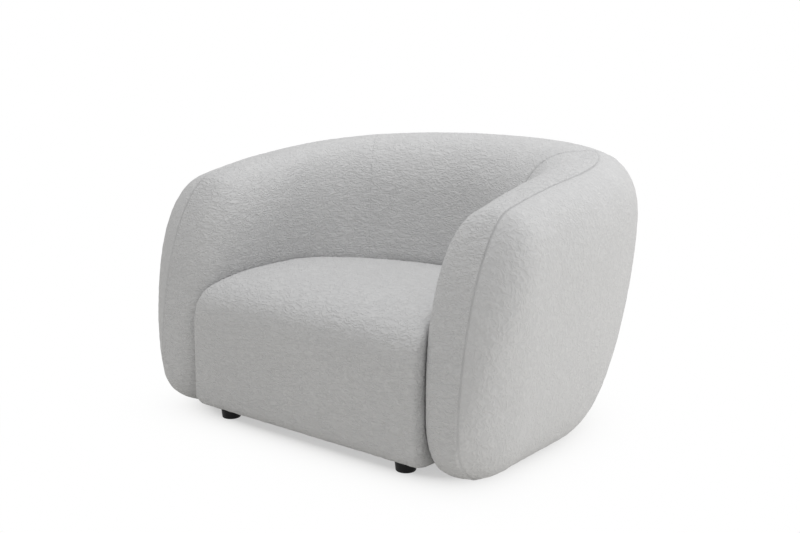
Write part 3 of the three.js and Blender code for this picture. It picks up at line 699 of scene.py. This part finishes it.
of_arm = (past_crease(middle) < 0) * np.sign(middle[:, 0])
form.to_mesh(wrap.data)
form.free()
print("sliced wrap:", len(wrap.data.polygons), "faces")

# %% Press the seams in
# The photograph shows the left crease pulled deep and the right one hardly pulled at all.
def press(thing, away, depth_in, spread, lip, where):
    """Sink a valley along the seam, with a lip on its near side, which is the band or the arm"""
    points = read_points(thing.data)
    height_out, lip_place, lip_width = lip
    pucker = np.array([noise.noise(Vector(point) * 38) for point in points])
    shape = height_out * (1 + 0.7 * pucker) * np.exp(-((away / MM + lip_place) / lip_width) ** 2)
    shape = shape - depth_in * (1 + 0.25 * pucker) * np.exp(-(away / MM / spread) ** 2)
    write_points(thing.data, points + read_normals(thing.data) * (shape * where * MM)[:, None])


def over_top(points):
    return ease((points[:, 2] / MM - 400) / 130)


def on_left(points):
    """1 on the left half of the chair and 0 on the right, with a short blend between"""
    return ease(points[:, 0] / MM / 100 + 0.5)


def seam_strength(points):
    """1 along an arm seam, fading to 0 before it meets the crease"""
    return ease((-past_crease(points) / MM - 80) / 110)


points = read_points(wrap.data)
from_crease, from_seam = past_crease(points), beside_seam(points)
high_up, left = over_top(points), on_left(points)
press(wrap, from_seam, mix(0.8, 2.1, high_up), mix(2.2, 4.2, high_up),
      (mix(1.3, 0.5, high_up), 7.0, 5.0), seam_strength(points))
press(wrap, from_crease, mix(0.3, 6.0, left), mix(4.0, 5.5, left), (0.6, 16, 7), left)

# %% [markdown]
# ## Three pods out of one form
# Now the wrap is parted where it is sewn. Each pod keeps the faces on its own side of the
# seam, and one flat face closes it, as the hidden edge of the foam does. The closing faces
# stand back from each other by a hair, so the pods touch without sharing a face.

# %% Part the wrap at its creases
def part_off(name, keep, away):
    form = bmesh.new()
    form.from_mesh(wrap.data)
    others = [face for face, kept in zip(form.faces, keep) if not kept]
    bmesh.ops.delete(form, geom=others, context="FACES")
    rims = [edge for edge in form.edges if edge.is_boundary]
    for vert in {vert for edge in rims for vert in edge.verts}:
        shift = away - float(past_crease(np.array([vert.co]))[0])
        vert.co += Vector((math.copysign(1, vert.co.x) * crease_along[0], crease_along[1], 0)) * shift
    bmesh.ops.holes_fill(form, edges=rims, sides=0)
    bmesh.ops.recalc_face_normals(form, faces=form.faces)
    open_edges = sum(not edge.is_manifold for edge in form.edges)
    mesh = bpy.data.meshes.new(name)
    form.to_mesh(mesh)
    form.free()
    mesh.polygons.foreach_set("use_smooth", [len(face.vertices) < 12 for face in mesh.polygons])
    print(name, len(mesh.polygons), "faces, open edges:", open_edges)
    return new_object(name, mesh)


arm_left = part_off("arm_pad_left", of_arm > 0, -0.03 * MM)
arm_right = part_off("arm_pad_right", of_arm < 0, -0.03 * MM)
back_pad = part_off("back_pad", of_arm == 0, 0.03 * MM)
discard(wrap)
pads = (arm_left, arm_right, back_pad, seat_pad)

# %% [markdown]
# ## Boucle
# Up close each curl catches light on its crown and holds shade in its loop. A soft noise,
# pressed down to half its height so that the curls lie sideways, makes them: the lines where
# it crosses its middle value wander like yarn, and a rounded ridge is raised along each. A
# field of rounded cells gives the smaller knots between them. Their sum drives the bump, and
# only a trace of it goes into the colour, as painted shade that is lighter on the crowns and
# darker in the loops, because this cloth is all one grey and shows its curls by shade. The curls
# of the bands and of the seat lie along the cloth, and the outer panels are cut with the cloth
# turned, so they stand more upright there. Which panel a point belongs to, and a painted shade
# along the arm seams and the left crease, are both stored with the mesh.

# %% Looped wool
def boucle_finish():
    finish, tree, shader = new_finish("boucle_cloth", Roughness=0.95, Sheen_Weight=0.15, Sheen_Roughness=0.5)
    spot = add_node(tree, "TexCoord")
    lie = add_node(tree, "Mapping")
    panel = add_node(tree, "Attribute", attribute_name="outer_panel")
    stretch = add_node(tree, "CombineXYZ")
    for axis, on_band, on_panel in (("X", 1.0, 1.25), ("Y", 1.0, 1.25), ("Z", 2.2, 1.2)):
        blend = add_node(tree, "MapRange", To_Min=on_band, To_Max=on_panel)
        wire(tree, panel, "Fac", blend, "Value")
        wire(tree, blend, "Result", stretch, axis)
    wire(tree, stretch, "Vector", lie, "Scale")
    curls = add_node(tree, "TexNoise", Scale=50.0, Detail=1.2, Distortion=0.9)
    knots = add_node(tree, "TexVoronoi", feature="SMOOTH_F1", Scale=100.0, Smoothness=0.6)
    wire(tree, spot, "Object", lie, "Vector")
    wire(tree, lie, "Vector", curls, "Vector")
    wire(tree, lie, "Vector", knots, "Vector")
    middle = add_node(tree, "Math", operation="SUBTRACT")
    middle.inputs[1].default_value = 0.5
    line = add_node(tree, "Math", operation="ABSOLUTE")
    wire(tree, curls, "Fac", middle, 0)
    wire(tree, middle, "Value", line, 0)
    curl_shape = add_node(tree, "MapRange", interpolation_type="SMOOTHSTEP", From_Min=0.13, From_Max=0.0)
    knot_shape = add_node(tree, "MapRange", interpolation_type="SMOOTHSTEP", From_Min=0.9, From_Max=0.05)
    wire(tree, line, "Value", curl_shape, "Value")
    wire(tree, knots, "Distance", knot_shape, "Value")
    nap = add_node(tree, "Mix", data_type="FLOAT")
    nap.inputs[0].default_value = 0.35
    wire(tree, curl_shape, "Result", nap, 2)
    wire(tree, knot_shape, "Result", nap, 3)
    drift = add_node(tree, "TexNoise", Scale=7.0, Detail=3.0)
    wire(tree, spot, "Object", drift, "Vector")
    # Painted shade: half of this is the curl height, lighter on the crowns and darker in the loops; the other
    # half is a slow random tone.
    curl_shade_and_tone = add_node(tree, "Mix", data_type="FLOAT")
    curl_shade_and_tone.inputs[0].default_value = 0.5
    wire(tree, nap, 0, curl_shade_and_tone, 2)
    wire(tree, drift, "Fac", curl_shade_and_tone, 3)
    colour = add_node(tree, "ValToRGB")
    colour.color_ramp.elements[0].color = (0.565, 0.565, 0.57, 1)
    colour.color_ramp.elements[1].color = (0.645, 0.645, 0.645, 1)
    wire(tree, curl_shade_and_tone, 0, colour, "Fac")
    # Painted shade: where seam_shade is 1 the colour is multiplied by 0.72, darkening the left crease and,
    # more faintly, the arm seams.
    seam = add_node(tree, "Attribute", attribute_name="seam_shade")
    shaded = add_node(tree, "Mix", data_type="RGBA", blend_type="MULTIPLY")
    shaded.inputs[7].default_value = (0.72, 0.72, 0.72, 1)
    wire(tree, seam, "Fac", shaded, 0)
    wire(tree, colour, "Color", shaded, 6)
    wire(tree, shaded, 2, shader, "Base Color")
    bump = add_node(tree, "Bump", Distance=0.0056)
    relief = add_node(tree, "MapRange", To_Min=0.5, To_Max=0.3)
    wire(tree, panel, "Fac", relief, "Value")
    wire(tree, relief, "Result", bump, "Strength")
    wire(tree, nap, 0, bump, "Height")
    wire(tree, bump, "Normal", shader, "Normal")
    return finish


boucle = boucle_finish()


# %% Store the painted seam shade and the panels with a mesh
def store(thing, name, values):
    layer = thing.data.attributes.new(name, "FLOAT", "POINT")
    layer.data.foreach_set("value", values.astype(np.float32))


def mark_cloth(pad, is_arm):
    points = read_points(pad.data)
    # Painted shade: full along the left crease, and faint along the arm seams, strongest over the top.
    crease = on_left(points) * np.exp(-(past_crease(points) / (4.5 * MM)) ** 2)
    high_up = over_top(points)
    sewn = np.exp(-(beside_seam(points) / (mix(2.0, 3.0, high_up) * MM)) ** 2)
    sewn = sewn * mix(0.12, 0.3, high_up) * seam_strength(points) * is_arm
    store(pad, "seam_shade", np.maximum(crease, sewn))
    store(pad, "outer_panel", ease(beside_seam(points) / (4 * MM) + 0.5) * is_arm)


# %% [markdown]
# ## Finishes of the hidden pieces
# Timber, plywood, felt, foam, lining, steel and plastic all have the same build: one pattern
# that is stretched the way the stuff grew or was made, a ramp between two shades of it, and a
# bump from the same pattern. So one helper makes them, and each finish is a line of values.
# Plywood adds its plies, as thin bands through the thickness of the sheet.

# %% One helper for grained finishes
def grained(name, kind, stretch, scale, dark, light, depth_of, plies="", **sockets):
    finish, tree, shader = new_finish(name, **sockets)
    spot = add_node(tree, "TexCoord")
    lie = add_node(tree, "Mapping")
    lie.inputs["Scale"].default_value = stretch
    wire(tree, spot, "Object", lie, "Vector")
    drift = add_node(tree, "TexNoise", Scale=scale / 9, Detail=2.0)
    pattern = add_node(tree, kind, Scale=scale, Detail=4.0)
    wire(tree, lie, "Vector", drift, "Vector")
    wire(tree, lie, "Vector", pattern, "Vector")
    output = "Distance" if kind == "TexVoronoi" else "Fac"
    both = add_node(tree, "Mix", data_type="FLOAT")
    both.inputs[0].default_value = 0.45
    wire(tree, pattern, output, both, 2)
    wire(tree, drift, "Fac", both, 3)
    last = both
    if plies:
        bands = add_node(tree, "TexWave", Scale=105.0, bands_direction=plies)
        wire(tree, spot, "Object", bands, "Vector")
        last = add_node(tree, "Mix", data_type="FLOAT")
        last.inputs[0].default_value = 0.4
        wire(tree, both, 0, last, 2)
        wire(tree, bands, "Fac", last, 3)
    colour = add_node(tree, "ValToRGB")
    for stop, place, shade in zip(colour.color_ramp.elements, (0.3, 0.7), (dark, light)):
        stop.position, stop.color = place, (*shade, 1)
    wire(tree, last, 0, colour, "Fac")
    wire(tree, colour, "Color", shader, "Base Color")
    bump = add_node(tree, "Bump", Strength=0.5, Distance=depth_of)
    wire(tree, both, 0, bump, "Height")
    wire(tree, bump, "Normal", shader, "Normal")
    return finish


# %% The finishes
pine = (0.42, 0.24, 0.11), (0.66, 0.44, 0.24)
birch = (0.50, 0.33, 0.17), (0.74, 0.56, 0.35)
timber = {
    axis: grained("timber_" + axis, "TexNoise", stretch, 70.0, *pine, 0.0006, Roughness=0.65)
    for axis, stretch in (("x", (0.06, 1, 1)), ("y", (1, 0.06, 1)))}
plywood = {
    axis: grained(
        "plywood_" + axis, "TexNoise", (1, 1, 0.08), 60.0, *birch, 0.0004, axis.upper(), Roughness=0.6)
    for axis in "xy"}
foam = grained(
    "cut_foam", "TexVoronoi", (1, 1, 1), 900.0, (0.62, 0.53, 0.30), (0.85, 0.78, 0.55), 0.0006,
    Roughness=0.95)
felt = grained(
    "needled_felt", "TexNoise", (1, 1, 1), 260.0, (0.12, 0.12, 0.13), (0.42, 0.40, 0.37), 0.0010,
    Roughness=1.0)
lining = grained(
    "black_lining", "TexVoronoi", (1, 1, 0.2), 640.0, (0.008, 0.008, 0.009), (0.026, 0.026, 0.028), 0.0002,
    Roughness=0.85)
spring_steel = grained(
    "drawn_steel", "TexNoise", (1, 1, 1), 420.0, (0.07, 0.075, 0.085), (0.19, 0.20, 0.22), 0.0001,
    Roughness=0.38, Metallic=1.0)
zinc = grained(
    "zinc_plate", "TexVoronoi", (1, 1, 1), 240.0, (0.42, 0.43, 0.44), (0.66, 0.67, 0.68), 0.00005,
    Roughness=0.33, Metallic=1.0)
plastic = grained(
    "moulded_plastic", "TexNoise", (1, 1, 1), 900.0, (0.004, 0.004, 0.004), (0.010, 0.010, 0.010), 0.00005,
    Roughness=0.5, Specular_IOR_Level=0.2)
print("finishes:", len(bpy.data.materials))

# %% Give every hidden node of the measured frame its finish
grain = {
    timber["x"]: ("front_rail", "rear_rail", "back_rail", "corner_block", "back_slat"),
    timber["y"]: ("side_rail", "centre_bearer", "rear_bearer", "arm_slat"),
    plywood["y"]: ("arm_rib",), plywood["x"]: ("back_rib",), spring_steel: ("seat_spring",),
    zinc: ("spring_clip", "bolt"), plastic: ("foot_front", "foot_rear")}
for node_name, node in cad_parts.items():
    for finish, words in grain.items():
        if any(word in node_name for word in words):
            node.material_slots[0].material = finish
left_over = [name for name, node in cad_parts.items() if node.material_slots[0].material not in grain]
print("nodes that get a soft piece of their own:", left_over)

# %% [markdown]
# ## Room for the frame
# The foam of a real pod is hollow where the timber goes. Each hollow is a plain cutter, cut
# to the outline of what it makes room for. The cutter carries the finish of the cut: foam
# inside, and cloth near the floor, where the cover is turned in and stapled to the rails.

# %% Cutters for the base, the arm formers and the back formers
foam_wall, former_front, former_rear = 47.7, 94.7, 348.3


def as_cutter(thing, hem=-1.0):
    mesh = thing.data
    mesh.materials.append(boucle)
    mesh.materials.append(foam)
    for face in mesh.polygons:
        face.material_index = 0 if max(mesh.vertices[i].co.z for i in face.vertices) < hem * MM else 1
    return thing


def box_cutter(name, low, high, hem=-1.0):
    levels = [low[2], hem - 0.01, high[2]] if low[2] < hem < high[2] else [low[2], high[2]]
    corners = [(low[0], low[1]), (high[0], low[1]), (high[0], high[1]), (low[0], high[1])]
    points = [(x * MM, (y - depth / 2) * MM, z * MM) for z in levels for x, y in corners]
    top = len(points) - 4
    faces = [(3, 2, 1, 0), (top, top + 1, top + 2, top + 3)]
    for level in range(0, top, 4):
        faces += [(level + i, level + (i + 1) % 4, level + 4 + (i + 1) % 4, level + 4 + i) for i in range(4)]
    return as_cutter(new_object(name, new_mesh(name, points, faces)), hem)


def arm_cutters(side):
    rings = [arm_slice(place, foam_wall) for place in (former_front, former_rear)]
    if side < 0:
        rings = [ring * np.array([-1, 1, 1]) for ring in rings[::-1]]
    near, far = sorted((side * 326.0, side * 422.3))
    slot_room = box_cutter("slot_room", (near, former_front, 90.5), (far, former_rear, 176.1))
    return [as_cutter(skin("former_room", rings)), slot_room]


back_ring = corner_slice(math.pi / 2, foam_wall)
back_ring[:, 2] = np.maximum(back_ring[:, 2], base_top - 2)
back_rings = [back_ring * np.array([0, 1, 1]) + np.array([x, 0, 0]) for x in (159.3, -159.3)]
back_room = as_cutter(skin("back_room", back_rings))
hem = 44.0
base_room = box_cutter("base_room", (-base_side, base_front, -5), (base_side, base_rear, foam_floor), hem)
post_room = box_cutter("post_room", (-post_side, base_rear - 1, -5), (post_side, post_rear, base_top), hem)
seat_space = box_cutter("seat_space", (-base_side, base_front, base_floor), (base_side, 700, foam_floor))
seat_open = box_cutter("seat_open", (-base_side, rail_behind, -5), (base_side, 700, foam_floor - 1), hem)

# %% Hollow the pads
plan = {
    arm_left: [base_room, *arm_cutters(1)], arm_right: [base_room, *arm_cutters(-1)],
    back_pad: [base_room, post_room, back_room], seat_pad: [seat_space, seat_open]}
for pad, cutters in plan.items():
    pad.data.materials.clear()
    pad.data.materials.append(boucle)
    pad.data.materials.append(foam)
    before = len(pad.data.vertices)
    cut_away(pad, cutters)
    print(pad.name, "from", before, "to", len(pad.data.vertices), "points")
discard(*{room for rooms in plan.values() for room in rooms})
for pad, is_arm in ((arm_left, 1.0), (arm_right, 1.0), (back_pad, 0.0)):
    mark_cloth(pad, is_arm)

# %% Put the pads in place of the measured covers and foams
for pad in pads:
    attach(pad, "root")
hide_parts("arm_cover_left", "arm_foam_left")
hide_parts("arm_cover_right", "arm_foam_right")
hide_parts("back_cover", "back_foam")
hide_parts("seat_cover", "seat_foam")

# %% [markdown]
# ## Under the seat
# The underside is closed with a sheet of black non-woven lining, folded in at its edge and
# stapled to the rails. It sags a few millimetres between them and ripples from staple to
# staple. A pad of needled felt lies on the springs, under the seat foam, and dips a little
# between them. Both are a grid of points, with a height for each, given a thickness.

# %% A thin sheet from a grid and a height
def thin_sheet(name, columns, rows, keep, height, thickness):
    columns, rows = np.asarray(columns, float), np.asarray(rows, float)
    across, along = np.meshgrid(columns, rows)
    z = height(across, along)
    points = np.column_stack([across.ravel(), along.ravel() - depth / 2, z.ravel()]) * MM
    faces = []
    for j in range(len(rows) - 1):
        for i in range(len(columns) - 1):
            middle = (columns[i] + columns[i + 1]) / 2, (rows[j] + rows[j + 1]) / 2
            if keep(*middle):
                a = j * len(columns) + i
                faces.append((a, a + 1, a + 1 + len(columns), a + len(columns)))
    mesh = new_mesh(name, points.tolist(), faces)
    loose = bmesh.new()
    loose.from_mesh(mesh)
    bmesh.ops.delete(loose, geom=[vert for vert in loose.verts if not vert.link_faces], context="VERTS")
    loose.to_mesh(mesh)
    loose.free()
    sheet = new_object(name, mesh)
    body = sheet.modifiers.new("body", "SOLIDIFY")
    body.thickness, body.offset = thickness * MM, 0
    settle(sheet)
    shade_smooth(sheet.data)
    return sheet


# %% The lining under the base
edge_side, edge_front, edge_step, edge_post, edge_rear = 325.7, 55.0, 626.0, 229.0, 719.0


def edge_gap(x, y):
    """Millimetres from a place on the lining to its nearest edge"""
    wide = np.minimum(edge_side - np.abs(x), np.minimum(y - edge_front, edge_step - y))
    post = np.minimum(edge_post - np.abs(x), edge_rear - y)
    return np.where(y > edge_step - 34, np.maximum(wide, np.minimum(post, 60)), wide)


def lining_height(x, y):
    gap = edge_gap(x, y)
    sag = 4.5 * ease((gap - 26) / 150)
    ripple = 0.35 * np.sin((x + 0.6 * y) / 8.0) * np.exp(-np.clip(gap, 0, None) / 30)
    feet = [(284.0, 65.0), (-284.0, 65.0), (208.7, 692.7), (-208.7, 692.7)]
    near_foot = sum(np.exp(-((x - fx) ** 2 + (y - fy) ** 2) / 34 ** 2) for fx, fy in feet)
    pressed = np.minimum(near_foot, 1)
    return 26.9 - sag * (1 - near_foot) - 0.35 * pressed + ripple * (1 - pressed)


outer_columns = np.linspace(edge_side, edge_post, 9)[:-1]
middle_columns = np.linspace(-edge_post, edge_post, 41)
lining_columns = np.concatenate([-outer_columns, middle_columns, outer_columns[::-1]])
lining_rows = np.concatenate([
    np.linspace(edge_front, edge_step, 52), np.linspace(edge_step, edge_rear, 10)[1:]])
lining_sheet = thin_sheet(
    "dust_cover_sheet", lining_columns, lining_rows,
    lambda x, y: y < edge_step or abs(x) < edge_post, lining_height, thickness=0.9)
lining_sheet.data.materials.append(lining)
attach(lining_sheet, "root")
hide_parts("dust_cover")

# %% The felt on the springs
def felt_height(x, y):
    springs = np.array([-225.0, -75.0, 75.0, 225.0])
    between = np.min([np.abs(x - spring) for spring in springs], axis=0)
    return 197.3 - 0.7 * ease((between - 24) / 40) + 0.15 * np.sin(x / 13.0) * np.sin(y / 17.0)


felt_pad = thin_sheet(
    "spring_felt_pad", np.linspace(-319.7, 319.7, 55), np.linspace(94, 587, 43),
    lambda x, y: True, felt_height, thickness=4.4)
felt_pad.data.materials.append(felt)
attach(felt_pad, "root")
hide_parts("spring_felt")

# %% Staples round the lining
def staple_points(x, y, turn, z):
    left, right = [(-5.3, 5), (-5.3, 0.2), (-4.9, -0.3)], [(4.9, -0.3), (5.3, 0.2), (5.3, 5), (4.7, 5)]
    outline = [*left, *right, (4.7, 0.3), (-4.7, 0.3), (-4.7, 5)]
    c, s = math.cos(turn), math.sin(turn)
    return [((x + u * c - v * s) * MM, (y + u * s + v * c - depth / 2) * MM, (z + up) * MM)
            for v in (-0.6, 0.6) for u, up in outline]


corners = [(edge_side, edge_front), (edge_side, edge_step), (edge_post, edge_step), (edge_post, edge_rear)]
outline = corners + [(-x, y) for x, y in reversed(corners)]
dice = np.random.default_rng(7)
points, faces = [], []
for (x0, y0), (x1, y1) in zip(outline, outline[1:] + outline[:1]):
    run = math.hypot(x1 - x0, y1 - y0)
    inward = np.array([-(y1 - y0), x1 - x0]) / run
    count = max(2, round(run / 48))
    for number in range(count):
        along = np.array([x0, y0]) + (number + 0.5) / count * np.array([x1 - x0, y1 - y0])
        x, y = along + inward * (8 + dice.uniform(-1.5, 1.5))
        turn = math.atan2(y1 - y0, x1 - x0) + dice.uniform(-0.16, 0.16)
        start = len(points)
        points += staple_points(x, y, turn, float(lining_height(x, y)) - 0.85)
        faces += [tuple(start + i for i in range(10)), tuple(start + 19 - i for i in range(10))]
        for i, after in zip(range(10), [*range(1, 10), 0]):
            faces.append((start + after, start + i, start + 10 + i, start + 10 + after))
staples = new_object("dust_cover_staples", new_mesh("dust_cover_staples", points, faces))
staples.data.materials.append(zinc)
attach(staples, "root")
print("staples:", len(points) // 20)

# %% [markdown]
# ## The feet
# Each foot is a turned or moulded black peg, a little narrower at the floor, with a softened
# rim and a recess underneath for its bolt. It is a lathe shape: one closed profile, spun
# round the axis of the bolt in ninety-six steps, which is round enough for a close look.

# %% Turn the four feet
def turned(name, profile, x, y, steps=96):
    spin = [2 * math.pi * i / steps for i in range(steps)]
    points = [
        ((x + r * math.cos(t)) * MM, (y + r * math.sin(t) - depth / 2) * MM, z * MM)
        for t in spin for r, z in profile]
    count = len(profile)
    faces = [
        (a * count + i, b * count + i, b * count + (i + 1) % count, a * count + (i + 1) % count)
        for a, b in ((a, (a + 1) % steps) for a in range(steps)) for i in range(count)]
    mesh = new_mesh(name, points, faces)
    shade_smooth(mesh)
    return new_object(name, mesh)


rim = [(21.3 + 2.2 * math.sin(t), 2.2 - 2.2 * math.cos(t)) for t in np.linspace(0, math.pi / 2, 6)]
lip = [(24.7 + 1.2 * math.cos(t), 24.2 + 1.2 * math.sin(t)) for t in np.linspace(0, math.pi / 2, 5)]
recess = [(8.0, 10.0), (8.0, 0.6), (8.6, 0.0), (15.0, 0.0)]
bolt_hole = [(12.0, 25.4), (4.3, 25.4), (4.3, 10.0)]
foot_profile = [*recess, *rim, (24.6, 13.0), *lip, *bolt_hole]
for name in ("front_left", "front_right", "rear_left", "rear_right"):
    low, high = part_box("foot_" + name)
    middle = (low + high) / 2
    foot_piece = turned("foot_peg_" + name, foot_profile, middle.x / MM, middle.y / MM + depth / 2)
    foot_piece.data.materials.append(plastic)
    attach(foot_piece, "root")
    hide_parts("foot_" + name)
print("feet:", [round(value, 4) for value in (low.x, low.y, high.x, high.y)])
